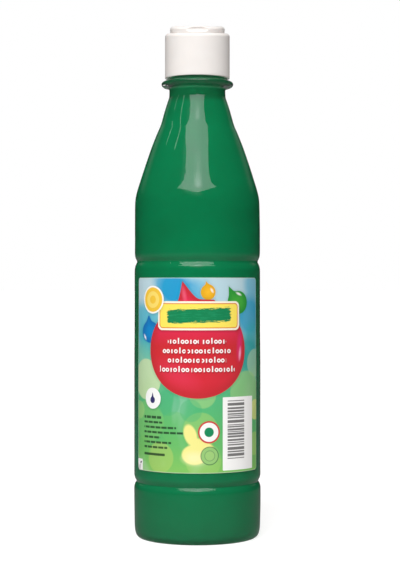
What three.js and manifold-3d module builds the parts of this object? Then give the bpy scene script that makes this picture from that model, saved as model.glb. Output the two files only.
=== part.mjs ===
// Squeeze bottle of ready-mixed poster paint, about 500 ml: a blow-moulded clear bottle full of paint,
// closed by a white screw cap with a flip-top lid, with one wrap-round label on its front.
// Millimetres, +Z up, the front faces -Y, and the origin is the middle of the base ring that it stands on.
import * as THREE from "three";
import { mergeVertices } from "three/addons/utils/BufferGeometryUtils.js";
import Module from "manifold-3d";

const wasm = await Module();
wasm.setup();

// ---------------------------------------------------------------- driving dimensions
const SEGMENTS = 32; // sides of every turned piece, all in phase
const BODY_R = 30.32; // bottle, widest, behind the label
const UPPER_R = 30.06; // bottle, between the upper groove and the shoulder
const UPPER_GROOVE_Z = 131.55;
const UPPER_GROOVE_R = 29.0;
const LOWER_GROOVE_Z = 26.74;
const LOWER_GROOVE_R = 29.3;
const NECK_R = 13.52; // neck under the support ring
const RING_R = 17.29; // support ring
const RING_Z = 216.5;
const BORE_R = 10.8; // inside of the neck
const MOUTH_Z = 235.4; // sealing face of the bottle
const FINISH_R = 12.6; // root of the bottle's thread
const BASE_RISE = 4.4; // push-up of the base

const THREAD_PITCH = 3.18;
const BOTTLE_THREAD_R = 13.72;
const BOTTLE_THREAD_Z = 224.2; // where the bottle's thread starts, lowest
const BOTTLE_THREAD_TURNS = 1.75;
const CAP_THREAD_R = 12.98;
const CAP_THREAD_TURNS = 1.5;

const CAP_R = 15.5;
const CAP_BORE_R = 14.15;
const CAP_LOW_Z = 219.4;
const CAP_TOP_Z = 241.0; // shoulder of the skirt, at the sides and back
const SHOULDER_DIP = 0.1325; // the front half of the shoulder slopes down towards the thumb, this much a millimetre
const DECK_LOW_Z = 236.9;
const DECK_Z = 238.3; // floor of the recess that the lid sits in
const RECESS_R = 13.45;
const NOZZLE_R = 4.5;
const NOZZLE_TOP_Z = 241.15;
const ORIFICE_R = 2.0;

const LID_R = 13.15;
const LID_LOW_Z = 238.6;
const LID_TOP_Z = 244.2;
const LID_FLAT_R = 4; // the middle of the lid's top is level, and so is its back half
const LID_FRONT_SLOPE = 0.175; // fall of the lid's top a millimetre, in front of that
const LID_CEILING_Z = 241.9;
const LID_WALL = 1.8;
const PLUG_R = 1.65;
const HINGE_Y = 15.4;
const HINGE_Z = 240.4;
const HINGE_W = 9.4;

const LINER_LOW_Z = 235.7;
const LINER_TOP_Z = 236.6;

const FILL_Z = 226.0; // paint level, inside the neck
const WALL_GAP = 0.25; // clearance kept between the paint and the wall round it

const LABEL_W = 70.0; // along the arc
const LABEL_LOW_Z = 33.6;
const LABEL_TOP_Z = 123.9;
const LABEL_R = 30.56;
const LABEL_T = 0.12;
const LABEL_CORNER = 1.8;

// ---------------------------------------------------------------- helpers
// Turns [radius, height] points about Z. The outline runs anticlockwise seen with radius to the right and height up.
function turned(outline, segments = SEGMENTS) {
  const pts = outline.map(([r, z]) => new THREE.Vector2(r, z));
  const g = new THREE.LatheGeometry(pts, segments);
  g.rotateX(Math.PI / 2);
  return g;
}

function solid(geometry) {
  const g = geometry.clone();
  g.deleteAttribute("normal");
  g.deleteAttribute("uv");
  const m = mergeVertices(g, 1e-4);
  return new wasm.Manifold(
    new wasm.Mesh({
      numProp: 3,
      vertProperties: m.attributes.position.array,
      triVerts: new Uint32Array(m.index.array),
    }),
  );
}

function geometryOf(manifold) {
  const m = manifold.getMesh();
  const g = new THREE.BufferGeometry();
  const n = m.numProp;
  const count = m.vertProperties.length / n;
  const pos = new Float32Array(count * 3);
  for (let i = 0; i < count; i++)
    for (let k = 0; k < 3; k++) pos[3 * i + k] = m.vertProperties[n * i + k];
  g.setAttribute("position", new THREE.BufferAttribute(pos, 3));
  g.setIndex(new THREE.BufferAttribute(new Uint32Array(m.triVerts), 1));
  const flat = g.toNonIndexed();
  flat.computeVertexNormals();
  return flat;
}

function named(name, geometry, colour, roughness, extra = {}) {
  const mesh = new THREE.Mesh(
    geometry,
    new THREE.MeshStandardMaterial({
      color: colour,
      roughness,
      metalness: 0,
      ...extra,
    }),
  );
  mesh.name = name;
  return mesh;
}

// A helical rib: a four-sided section swept up a helix about Z, fading out at both ends.
// rRoot is buried in the wall it stands on, rCrest is its free edge.
function helicalRib(rRoot, rCrest, rootHeight, crestHeight, zStart, turns) {
  const steps = Math.round(turns * 28);
  const section = new THREE.Shape([
    new THREE.Vector2(0, -0.5),
    new THREE.Vector2(1, -0.5),
    new THREE.Vector2(1, 0.5),
    new THREE.Vector2(0, 0.5),
  ]);
  const g = new THREE.ExtrudeGeometry(section, {
    depth: 1,
    steps,
    bevelEnabled: false,
  });
  const p = g.attributes.position;
  for (let i = 0; i < p.count; i++) {
    const across = p.getX(i);
    const up = p.getY(i);
    const along = p.getZ(i);
    const run = along * turns; // in turns
    const fade = Math.min(1, Math.min(run, turns - run) / 0.12 + 0.04);
    const crest = rRoot + (rCrest - rRoot) * fade;
    const r = across > 0.5 ? crest : rRoot;
    const height = across > 0.5 ? crestHeight : rootHeight;
    const a = run * 2 * Math.PI;
    p.setXYZ(
      i,
      r * Math.cos(a),
      r * Math.sin(a),
      zStart + THREAD_PITCH * run + up * height,
    );
  }
  const s = solid(g);
  if (s.volume() >= 0) return s;
  const index = g.index ? g.index.array : null;
  const order = index || Array.from({ length: p.count }, (_, i) => i);
  const turnedRound = [];
  for (let i = 0; i < order.length; i += 3)
    turnedRound.push(order[i], order[i + 2], order[i + 1]);
  g.setIndex(turnedRound);
  return solid(g);
}

// ---------------------------------------------------------------- bottle
// Outer wall, [radius, height, wall thickness], from the base ring up to the neck.
const wall = [
  [29.3, 1.5, 1.0],
  [29.9, 3.1, 0.85],
  [30.14, 5.2, 0.7],
  [30.36, 23.7, 0.5],
  [30.12, 24.96, 0.48],
  [LOWER_GROOVE_R, LOWER_GROOVE_Z, 0.48],
  [30.11, 28.8, 0.48],
  [BODY_R, 29.9, 0.46],
  [BODY_R, 76.0, 0.45],
  [30.2, 103.0, 0.45],
  [30.12, 126.7, 0.45],
  [29.85, 129.25, 0.45],
  [UPPER_GROOVE_R, UPPER_GROOVE_Z, 0.45],
  [29.85, 133.95, 0.45],
  [UPPER_R, 136.4, 0.45],
  [29.96, 157.4, 0.45],
  [29.76, 161.3, 0.45],
  [29.04, 165.1, 0.48],
  [27.2, 170.9, 0.5],
  [24.7, 178.6, 0.5],
  [22.2, 185.8, 0.52],
  [19.85, 192.0, 0.56],
  [18.12, 195.9, 0.6],
  [16.85, 199.7, 0.66],
  [15.24, 205.4, 0.85],
  [13.99, 209.3, 1.4],
  [NECK_R, 210.8, 2.0],
  [NECK_R, 214.4, NECK_R - BORE_R],
];
const underside = [
  [0, BASE_RISE],
  [14, 3.2],
  [22, 1.2],
  [25.2, 0.25],
  [26.3, 0],
  [27.6, 0],
  [28.6, 0.55],
];
const finish = [
  [15.8, 214.8],
  [RING_R, 216.2],
  [RING_R, RING_Z + 0.4],
  [15.8, 218.0],
  [13.9, 218.25],
  [13.9, 219.1],
  [FINISH_R, 220.2],
  [FINISH_R, 234.4],
  [12.2, MOUTH_Z],
  [11.1, MOUTH_Z],
  [BORE_R, 235.0],
];
const inner = wall.map(([r, z, t]) => [r - t, z]).reverse();
const innerFloor = [
  [28.0, 1.55],
  [25.6, 1.25],
  [22, 2.2],
  [14, 4.2],
  [0, BASE_RISE + 1.0],
];
inner[inner.length - 1] = [28.55, 2.1]; // the heel's inside corner
let bottleSolid = solid(
  turned([
    ...underside,
    ...wall.map(([r, z]) => [r, z]),
    ...finish,
    ...inner,
    ...innerFloor,
  ]),
);
bottleSolid = bottleSolid.add(
  helicalRib(
    FINISH_R - 0.5,
    BOTTLE_THREAD_R,
    2.0,
    0.8,
    BOTTLE_THREAD_Z,
    BOTTLE_THREAD_TURNS,
  ),
);
const bottle = named("bottle", geometryOf(bottleSolid), 0xcfd8d2, 0.08, {
  transparent: true,
  opacity: 0.35,
});

// ---------------------------------------------------------------- paint
const g = WALL_GAP;
const paintSide = wall
  .map(([r, z, t]) => [r - t - g, z])
  .filter(([, z]) => z > 3);
const paint = named(
  "paint_fill",
  turned([
    [0, BASE_RISE + 1.0 + g],
    [14, 4.2 + g],
    [22, 2.2 + g],
    [25.6, 1.25 + g + 0.05],
    [27.6, 1.55 + g + 0.15],
    [28.35, 2.75],
    ...paintSide,
    [BORE_R - g, FILL_Z - 0.5],
    [BORE_R - g, FILL_Z],
    [0, FILL_Z],
  ]),
  0x0b7a4c,
  0.35,
);

// ---------------------------------------------------------------- sealing liner
const liner = named(
  "cap_liner",
  turned([
    [7.0, LINER_LOW_Z],
    [13.6, LINER_LOW_Z],
    [13.6, LINER_TOP_Z],
    [7.0, LINER_TOP_Z],
    [7.0, LINER_LOW_Z],
  ]),
  0xf2f2ee,
  0.9,
);

// ---------------------------------------------------------------- screw cap
const capGeometry = turned([
  [14.4, CAP_LOW_Z],
  [15.2, CAP_LOW_Z],
  [CAP_R, CAP_LOW_Z + 0.35],
  [CAP_R, 239.5],
  [15.3, 240.25],
  [14.8, 240.8],
  [14.1, CAP_TOP_Z],
  [RECESS_R + 0.12, CAP_TOP_Z],
  [RECESS_R, DECK_Z],
  [NOZZLE_R + 0.5, DECK_Z],
  [NOZZLE_R, DECK_Z + 0.4],
  [NOZZLE_R - 0.35, NOZZLE_TOP_Z - 0.7],
  [NOZZLE_R - 1.1, NOZZLE_TOP_Z],
  [ORIFICE_R + 0.25, NOZZLE_TOP_Z],
  [ORIFICE_R, NOZZLE_TOP_Z - 0.3],
  [ORIFICE_R, DECK_LOW_Z],
  [CAP_BORE_R, DECK_LOW_Z],
  [CAP_BORE_R, CAP_LOW_Z + 0.5],
  [14.4, CAP_LOW_Z],
]);
// The shoulder dips at the front, so that a thumb reaches the lid.
const capPoints = capGeometry.attributes.position;
for (let i = 0; i < capPoints.count; i++) {
  const [x, y, z] = [capPoints.getX(i), capPoints.getY(i), capPoints.getZ(i)];
  if (Math.hypot(x, y) > 13.3 && z > 239.2)
    capPoints.setZ(i, z - SHOULDER_DIP * Math.max(0, -y - 1));
}
let capSolid = solid(capGeometry);
const capThread = helicalRib(
  CAP_BORE_R + 0.5,
  CAP_THREAD_R,
  2.0,
  0.8,
  BOTTLE_THREAD_Z - THREAD_PITCH / 2,
  CAP_THREAD_TURNS,
);
capSolid = capSolid.add(capThread);
// Step in the back of the shoulder that the hinge web folds into.
const step = new THREE.BoxGeometry(HINGE_W + 1.0, 4.4, 2.0);
step.translate(0, 11.7 + 2.2, 239.9 + 1.0);
capSolid = capSolid.subtract(solid(step));
const capBase = named("cap_base", geometryOf(capSolid), 0xf4f3ef, 0.35);

// ---------------------------------------------------------------- flip lid
const lidGeometry = turned([
  [0, LID_LOW_Z + 0.1],
  [PLUG_R - 0.45, LID_LOW_Z + 0.1],
  [PLUG_R, LID_LOW_Z + 0.8],
  [PLUG_R, LID_CEILING_Z],
  [LID_R - LID_WALL, LID_CEILING_Z],
  [LID_R - LID_WALL, LID_LOW_Z],
  [LID_R - 0.4, LID_LOW_Z],
  [LID_R, LID_TOP_Z - 1.4],
  [LID_R - 0.35, LID_TOP_Z - 0.55],
  [LID_R - 1.1, LID_TOP_Z - 0.1],
  [LID_R - 1.8, LID_TOP_Z],
  [LID_FLAT_R, LID_TOP_Z],
  [0, LID_TOP_Z],
]);
// The front of the lid slopes down towards the thumb, and its ceiling with it.
const lidPoints = lidGeometry.attributes.position;
for (let i = 0; i < lidPoints.count; i++) {
  const [x, y, z] = [lidPoints.getX(i), lidPoints.getY(i), lidPoints.getZ(i)];
  if (Math.hypot(x, y) > LID_FLAT_R + 1 && z > LID_CEILING_Z - 0.1)
    lidPoints.setZ(i, z - LID_FRONT_SLOPE * Math.max(0, -y - LID_FLAT_R + 0.5));
}
let lidSolid = solid(lidGeometry);
const tab = new THREE.BoxGeometry(HINGE_W, 2.6, 1.3);
tab.translate(0, 12.2 + 1.3, 240.75 + 0.65);
// Thumb dimple: a trough across the front wall.
const dimple = new THREE.CylinderGeometry(1, 1, 10.8, 20);
dimple.rotateZ(Math.PI / 2);
dimple.scale(1, 1.45, 1.45);
dimple.translate(0, -13.4, 241.2);
lidSolid = lidSolid.add(solid(tab)).subtract(solid(dimple));
const lid = named("flip_lid", geometryOf(lidSolid), 0xf4f3ef, 0.35);

// ---------------------------------------------------------------- living hinge
// A thin web, folded shut in a half loop between the back of the shoulder and the lid's rear tab.
const loop = [];
const loopR = 0.85;
const webT = 0.4;
for (let i = 0; i <= 8; i++) {
  const a = -Math.PI / 2 + (Math.PI * i) / 8;
  loop.push([
    15.15 + loopR * Math.cos(a),
    HINGE_Z + 0.35 + loopR * Math.sin(a),
  ]);
}
for (let i = 8; i >= 0; i--) {
  const a = -Math.PI / 2 + (Math.PI * i) / 8;
  loop.push([
    15.15 + (loopR - webT) * Math.cos(a),
    HINGE_Z + 0.35 + (loopR - webT) * Math.sin(a),
  ]);
}
const webShape = new THREE.Shape(loop.map(([y, z]) => new THREE.Vector2(y, z)));
const web = new THREE.ExtrudeGeometry(webShape, {
  depth: HINGE_W - 0.6,
  steps: 1,
  bevelEnabled: false,
});
// The section is drawn in Y and Z, and runs across along X.
web.applyMatrix4(
  new THREE.Matrix4().set(0, 0, 1, -(HINGE_W - 0.6) / 2, 1, 0, 0, 0, 0, 1, 0, 0, 0, 0, 0, 1),
);
const hinge = named("hinge_web", geometryOf(solid(web)), 0xf4f3ef, 0.4);

// ---------------------------------------------------------------- front label
const columns = [];
for (const d of [0, 0.15, 0.5, 1.0, LABEL_CORNER]) columns.push(-LABEL_W / 2 + d);
const middle = 18;
for (let i = 1; i < middle; i++)
  columns.push(
    -LABEL_W / 2 + LABEL_CORNER + ((LABEL_W - 2 * LABEL_CORNER) * i) / middle,
  );
for (const d of [LABEL_CORNER, 1.0, 0.5, 0.15, 0]) columns.push(LABEL_W / 2 - d);
const film = new THREE.BoxGeometry(1, 1, 1, columns.length - 1, 1, 1);
const fp = film.attributes.position;
for (let i = 0; i < fp.count; i++) {
  const s = columns[Math.round((fp.getX(i) + 0.5) * (columns.length - 1))];
  const r = LABEL_R + (fp.getY(i) < 0 ? LABEL_T : 0); // the front of the film faces -Y
  const edge = LABEL_W / 2 - Math.abs(s);
  const c = LABEL_CORNER;
  const cut = edge < c ? c - Math.sqrt(Math.max(0, c * c - (c - edge) ** 2)) : 0;
  const z = fp.getZ(i) > 0 ? LABEL_TOP_Z - cut : LABEL_LOW_Z + cut;
  const a = s / LABEL_R;
  fp.setXYZ(i, r * Math.sin(a), -r * Math.cos(a), z);
}
const label = named("front_label", geometryOf(solid(film)), 0x9fc7a8, 0.45);

// ---------------------------------------------------------------- assembly
const root = new THREE.Group();
const cap = new THREE.Group();
cap.add(capBase, hinge, lid);
root.add(bottle, paint, label, liner, cap);
root.updateMatrixWorld(true);

export default root;
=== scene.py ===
import math

import bmesh
import bpy
import numpy as np
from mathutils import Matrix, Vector


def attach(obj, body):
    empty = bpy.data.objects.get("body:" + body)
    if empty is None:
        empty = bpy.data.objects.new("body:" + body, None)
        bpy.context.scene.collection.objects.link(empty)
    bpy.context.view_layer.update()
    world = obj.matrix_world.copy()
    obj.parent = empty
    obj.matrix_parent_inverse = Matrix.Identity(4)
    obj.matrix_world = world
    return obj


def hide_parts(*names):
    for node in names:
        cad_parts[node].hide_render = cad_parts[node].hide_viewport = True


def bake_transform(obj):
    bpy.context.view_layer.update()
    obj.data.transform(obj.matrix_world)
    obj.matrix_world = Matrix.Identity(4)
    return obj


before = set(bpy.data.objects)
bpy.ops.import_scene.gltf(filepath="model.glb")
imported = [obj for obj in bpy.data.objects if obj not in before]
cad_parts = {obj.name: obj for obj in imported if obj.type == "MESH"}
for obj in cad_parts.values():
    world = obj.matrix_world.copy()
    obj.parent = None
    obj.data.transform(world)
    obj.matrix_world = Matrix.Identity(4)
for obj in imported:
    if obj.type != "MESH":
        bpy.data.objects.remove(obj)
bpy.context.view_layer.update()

MM = 0.001
scene = bpy.context.scene

# The front of the bottle faces -Y. Lengths below are in millimetres until a mesh is made.


# ------------------------------------------------------------------ camera
cam_data = bpy.data.cameras.new("camera")
cam_data.sensor_width = 36.0
cam_data.lens = 99.5
cam_data.clip_start, cam_data.clip_end = 0.01, 50
camera = bpy.data.objects.new("camera", cam_data)
camera.location = (0.00127, -0.756, 0.1205)
camera.rotation_euler = (math.radians(90), 0, 0)
scene.collection.objects.link(camera)
scene.camera = camera
scene.view_settings.view_transform = "Standard"
scene.view_settings.look = "None"


# ------------------------------------------------------------------ mesh helpers
def new_object(name, verts, faces, sharp=35):
    mesh = bpy.data.meshes.new(name)
    mesh.from_pydata([tuple(c * MM for c in v) for v in verts], [], faces)
    bm = bmesh.new()
    bm.from_mesh(mesh)
    bmesh.ops.recalc_face_normals(bm, faces=bm.faces)
    bm.to_mesh(mesh)
    bm.free()
    mesh.polygons.foreach_set("use_smooth", [True] * len(mesh.polygons))
    if sharp:
        mesh.set_sharp_from_angle(angle=math.radians(sharp))
    mesh.update()
    o = bpy.data.objects.new(name, mesh)
    scene.collection.objects.link(o)
    return o


def through(points, step=0.6, fine=None):
    """A centripetal Catmull-Rom curve through (r, z) points, resampled about every step mm; fine(r, z) may give a smaller step."""
    p = np.array(points, float)
    p = np.vstack([2 * p[0] - p[1], p, 2 * p[-1] - p[-2]])
    out = []
    for i in range(1, len(p) - 2):
        a, b, c, d = p[i - 1 : i + 3]
        length = np.linalg.norm(c - b)
        s = step if fine is None else min(step, fine(*((b + c) / 2)))
        n = max(1, int(math.ceil(length / s)))
        t0 = 0.0
        t1 = t0 + max(1e-6, np.linalg.norm(b - a)) ** 0.5
        t2 = t1 + max(1e-6, length) ** 0.5
        t3 = t2 + max(1e-6, np.linalg.norm(d - c)) ** 0.5
        for k in range(n):
            t = t1 + (t2 - t1) * k / n
            a1 = (t1 - t) / (t1 - t0) * a + (t - t0) / (t1 - t0) * b
            a2 = (t2 - t) / (t2 - t1) * b + (t - t1) / (t2 - t1) * c
            a3 = (t3 - t) / (t3 - t2) * c + (t - t2) / (t3 - t2) * d
            b1 = (t2 - t) / (t2 - t0) * a1 + (t - t0) / (t2 - t0) * a2
            b2 = (t3 - t) / (t3 - t1) * a2 + (t - t1) / (t3 - t1) * a3
            out.append((t2 - t) / (t2 - t1) * b1 + (t - t1) / (t2 - t1) * b2)
    out.append(p[-2])
    return [(max(0.0, float(r)), float(z)) for r, z in out]


def line(a, b, step=1.0):
    n = max(1, int(math.ceil(math.dist(a, b) / step)))
    return [(a[0] + (b[0] - a[0]) * i / n, a[1] + (b[1] - a[1]) * i / n) for i in range(n + 1)]


def arc(cr, cz, radius, a0, a1, n=6):
    """Points on an arc in the (r, z) plane, angles in degrees."""
    return [
        (cr + radius * math.cos(math.radians(a0 + (a1 - a0) * i / n)), cz + radius * math.sin(math.radians(a0 + (a1 - a0) * i / n)))
        for i in range(n + 1)
    ]


def joined(*runs):
    out = []
    for run in runs:
        for q in run:
            if not out or math.dist(q, out[-1]) > 1e-4:
                out.append((float(q[0]), float(q[1])))
    return out


def lathe(name, profile, angles, shape=None, close=False, sharp=35):
    """Turns (r, z) points about Z at the given angles (0 faces -Y, anticlockwise from above). shape(angles, r, z, i) returns moved (r, z) arrays."""
    th = np.asarray(angles, float)
    n = len(th)
    verts, rows = [], []
    for i, (r, z) in enumerate(profile):
        if r < 1e-6:
            rows.append([len(verts)])
            verts.append((0.0, 0.0, z))
            continue
        rr, zz = np.full(n, r), np.full(n, z)
        if shape is not None:
            rr, zz = shape(th, rr, zz, i)
        rows.append(list(range(len(verts), len(verts) + n)))
        verts += list(zip((rr * np.sin(th)).tolist(), (-rr * np.cos(th)).tolist(), zz.tolist()))
    faces = []
    pairs = list(zip(rows[:-1], rows[1:])) + ([(rows[-1], rows[0])] if close else [])
    for lo, hi in pairs:
        for k in range(n):
            m = (k + 1) % n
            if len(lo) == 1 and len(hi) == 1:
                continue
            if len(lo) == 1:
                faces.append((lo[0], hi[m], hi[k]))
            elif len(hi) == 1:
                faces.append((lo[k], lo[m], hi[0]))
            else:
                faces.append((lo[k], lo[m], hi[m], hi[k]))
    return new_object(name, verts, faces, sharp)


def even(n, extra=()):
    """n even angles, with extra ones (degrees) put in where they are at least a little apart from the rest."""
    a = {round(360.0 * i / n, 6) for i in range(n)}
    for e in extra:
        a = {v for v in a if abs((v - e + 180) % 360 - 180) > 0.12}
        a.add(e % 360)
    return np.radians(sorted(a))


def smoothstep(x, lo, hi):
    t = np.clip((x - lo) / (hi - lo), 0, 1)
    return t * t * (3 - 2 * t)


# ------------------------------------------------------------------ node helpers
def lin(rgb):
    """An 8-bit display colour as linear RGBA."""
    c = [v / 255 for v in rgb]
    return tuple(v / 12.92 if v <= 0.04045 else ((v + 0.055) / 1.055) ** 2.4 for v in c) + (1.0,)


class Tree:
    def __init__(self, name):
        self.mat = bpy.data.materials.new(name)
        self.mat.use_nodes = True
        self.nt = self.mat.node_tree
        self.nt.nodes.clear()
        self.out = self.nt.nodes.new("ShaderNodeOutputMaterial")

    def node(self, kind, **props):
        n = self.nt.nodes.new(kind)
        for k, v in props.items():
            setattr(n, k, v)
        return n

    def put(self, socket, value):
        if isinstance(value, bpy.types.NodeSocket):
            self.nt.links.new(value, socket)
        elif value is not None:
            socket.default_value = value

    def math(self, op, a, b=None, c=None, clamp=False):
        n = self.node("ShaderNodeMath", operation=op, use_clamp=clamp)
        for s, v in zip(n.inputs, (a, b, c)):
            self.put(s, v)
        return n.outputs[0]

    def vec(self, op, a, b=None, out=0):
        n = self.node("ShaderNodeVectorMath", operation=op)
        self.put(n.inputs[0], a)
        if b is not None:
            self.put(n.inputs[1], b)
        return n.outputs["Value"] if out == "Value" else n.outputs[0]

    def ramp(self, x, lo, hi, to_lo=0.0, to_hi=1.0, smooth=False):
        n = self.node("ShaderNodeMapRange", interpolation_type="SMOOTHSTEP" if smooth else "LINEAR")
        self.put(n.inputs["Value"], x)
        n.inputs["From Min"].default_value, n.inputs["From Max"].default_value = lo, hi
        n.inputs["To Min"].default_value, n.inputs["To Max"].default_value = to_lo, to_hi
        return n.outputs[0]

    def mix(self, f, a, b, blend="MIX"):
        n = self.node("ShaderNodeMix", data_type="RGBA", blend_type=blend, clamp_factor=True)
        self.put(n.inputs["Factor"], f)
        self.put(n.inputs["A"], a)
        self.put(n.inputs["B"], b)
        # colour sockets sit after the float and vector ones
        self.put(n.inputs[6], a)
        self.put(n.inputs[7], b)
        return n.outputs[2]

    def noise(self, vector, scale, detail=3.0, rough=0.5, distortion=0.0):
        n = self.node("ShaderNodeTexNoise")
        self.put(n.inputs["Vector"], vector)
        n.inputs["Scale"].default_value = scale
        n.inputs["Detail"].default_value = detail
        n.inputs["Roughness"].default_value = rough
        n.inputs["Distortion"].default_value = distortion
        return n.outputs["Fac"]

    def here(self):
        return self.node("ShaderNodeTexCoord").outputs["Object"]

    def bump(self, height, strength, distance, normal=None):
        n = self.node("ShaderNodeBump")
        n.inputs["Strength"].default_value = strength
        n.inputs["Distance"].default_value = distance
        self.put(n.inputs["Height"], height)
        if normal is not None:
            self.put(n.inputs["Normal"], normal)
        return n.outputs[0]

    def principled(self, **values):
        p = self.node("ShaderNodeBsdfPrincipled")
        for k, v in values.items():
            self.put(p.inputs[k.replace("_", " ")], v)
        return p

    def finish(self, shader):
        self.nt.links.new(shader, self.out.inputs["Surface"])
        return self.mat


# ------------------------------------------------------------------ materials
def clear_pet():
    t = Tree("clear_pet")
    at = t.here()
    waves = t.noise(at, 55, 2.0)
    grain = t.noise(at, 1400, 2.0)
    rough = t.math("ADD", t.ramp(t.noise(at, 240, 4.0, 0.6), 0.35, 0.8, 0.03, 0.085), t.math("MULTIPLY", grain, 0.01))
    n = t.bump(waves, 0.1, 0.0006)
    p = t.principled(Base_Color=(0.955, 0.965, 0.955, 1), Roughness=rough, IOR=1.57, Transmission_Weight=1.0, Normal=n)
    clear = t.node("ShaderNodeBsdfTransparent")
    clear.inputs["Color"].default_value = (0.93, 0.96, 0.94, 1)
    m = t.node("ShaderNodeMixShader")
    path = t.node("ShaderNodeLightPath")
    t.nt.links.new(path.outputs["Is Shadow Ray"], m.inputs[0])
    t.nt.links.new(p.outputs[0], m.inputs[1])
    t.nt.links.new(clear.outputs[0], m.inputs[2])
    return t.finish(m.outputs[0])


def green_paint():
    t = Tree("green_paint")
    at = t.here()
    broad = t.noise(at, 22, 3.0, 0.55, 0.6)
    speck = t.noise(at, 900, 2.0)
    c = t.mix(t.ramp(broad, 0.3, 0.75, smooth=True), lin((8, 105, 65)), lin((10, 97, 59)))
    c = t.mix(t.ramp(speck, 0.62, 0.8, 0, 0.25), c, lin((16, 113, 71)))
    # painted shadow of the cap and ring: the paint is darker in the neck just under the ring
    height = t.node("ShaderNodeSeparateXYZ")
    t.put(height.inputs[0], at)
    neck_painted_shadow = t.math("MULTIPLY", t.ramp(height.outputs[2], 0.2068, 0.2098, 0, 0.6, True), t.ramp(height.outputs[2], 0.2132, 0.2152, 1, 0, True))
    c = t.mix(neck_painted_shadow, c, lin((16, 66, 38)))
    # painted lighter and greyer from about 213.5 mm up, where the clear ring sits in front of the paint
    c = t.mix(t.ramp(height.outputs[2], 0.2135, 0.216, 0, 0.5, True), c, lin((46, 104, 70)))
    # painted shade and haze: darker and greyer towards the base, standing in for the overhead light falling off and the
    # pale floor's reflection
    base_painted_shade = t.ramp(height.outputs[2], 0.008, 0.042, 1, 0, True)
    c = t.mix(t.math("MULTIPLY", base_painted_shade, 0.55), c, lin((22, 92, 58)))
    p = t.principled(Base_Color=c, Roughness=0.5, Specular_IOR_Level=0.0)
    return t.finish(p.outputs[0])


def white_plastic(name, tint=(241, 237, 234), gloss=0.33):
    t = Tree(name)
    at = t.here()
    fine = t.noise(at, 5200, 2.0, 0.6)
    broad = t.noise(at, 90, 3.0, 0.5)
    c = t.mix(t.ramp(broad, 0.3, 0.75), lin(tint), lin(tuple(v - 5 for v in tint)))
    rough = t.math("ADD", t.ramp(broad, 0.25, 0.8, gloss - 0.03, gloss + 0.06), t.math("MULTIPLY", fine, 0.03))
    n = t.bump(fine, 0.08, 0.00006)
    p = t.principled(Base_Color=c, Roughness=rough, IOR=1.49, Normal=n, Subsurface_Weight=0.12, Subsurface_Radius=(0.0012, 0.001, 0.0009), Subsurface_Scale=1.0)
    return t.finish(p.outputs[0])


def liner_foam():
    t = Tree("liner_foam")
    at = t.here()
    v = t.node("ShaderNodeTexVoronoi")
    t.put(v.inputs["Vector"], at)
    v.inputs["Scale"].default_value = 2600
    c = t.mix(t.ramp(v.outputs["Distance"], 0.1, 0.7), lin((226, 226, 220)), lin((244, 244, 240)))
    n = t.bump(v.outputs["Distance"], 0.35, 0.0001)
    p = t.principled(Base_Color=c, Roughness=0.8, Normal=n)
    return t.finish(p.outputs[0])


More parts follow.
